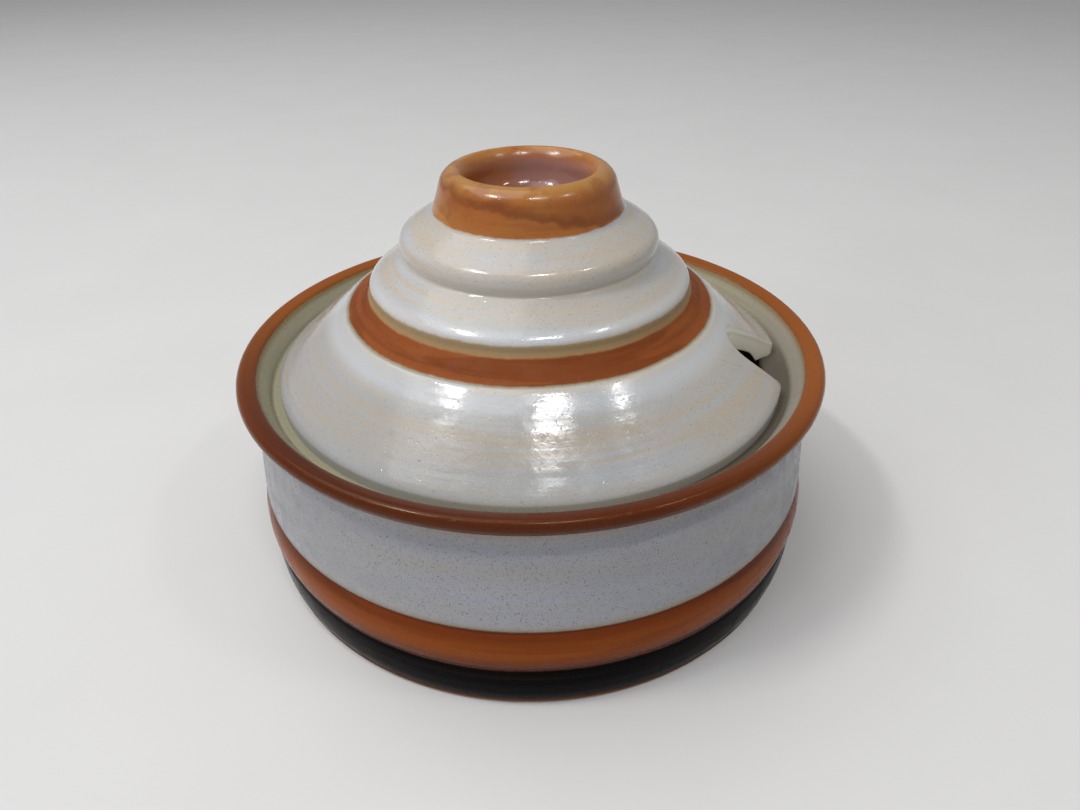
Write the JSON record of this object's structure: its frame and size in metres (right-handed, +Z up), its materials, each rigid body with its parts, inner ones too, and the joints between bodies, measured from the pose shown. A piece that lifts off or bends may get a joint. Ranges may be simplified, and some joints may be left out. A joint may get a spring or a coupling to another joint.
{
  "type": "lidded sugar bowl",
  "caption": "Low round stoneware sugar bowl with a loose domed lid, a hollow knob and a spoon notch, glazed cream with brown and black bands.",
  "frame": {"origin": "centre of the foot, on the surface that the bowl stands on", "axes": "+Z up along the axis of the bowl, +X through the middle of the mouth of the lid's spoon notch"},
  "size_m": [0.124, 0.124, 0.083],
  "materials": {
    "bowl_glaze": "speckled grey-cream stoneware glaze with brown rim and band and a black foot",
    "lid_glaze": "speckled cream stoneware glaze with peach throwing streaks, a brown band and a brown knob"
  },
  "bodies": {
    "bowl": {"bowl": "bowl_glaze"},
    "lid": {"lid": "lid_glaze"}
  },
  "joints": [
    {"name": "lid_lift", "type": "slide", "parent": "bowl", "child": "lid", "axis": [0, 0, 1], "range_m": [0, 0.06]}
  ]
}
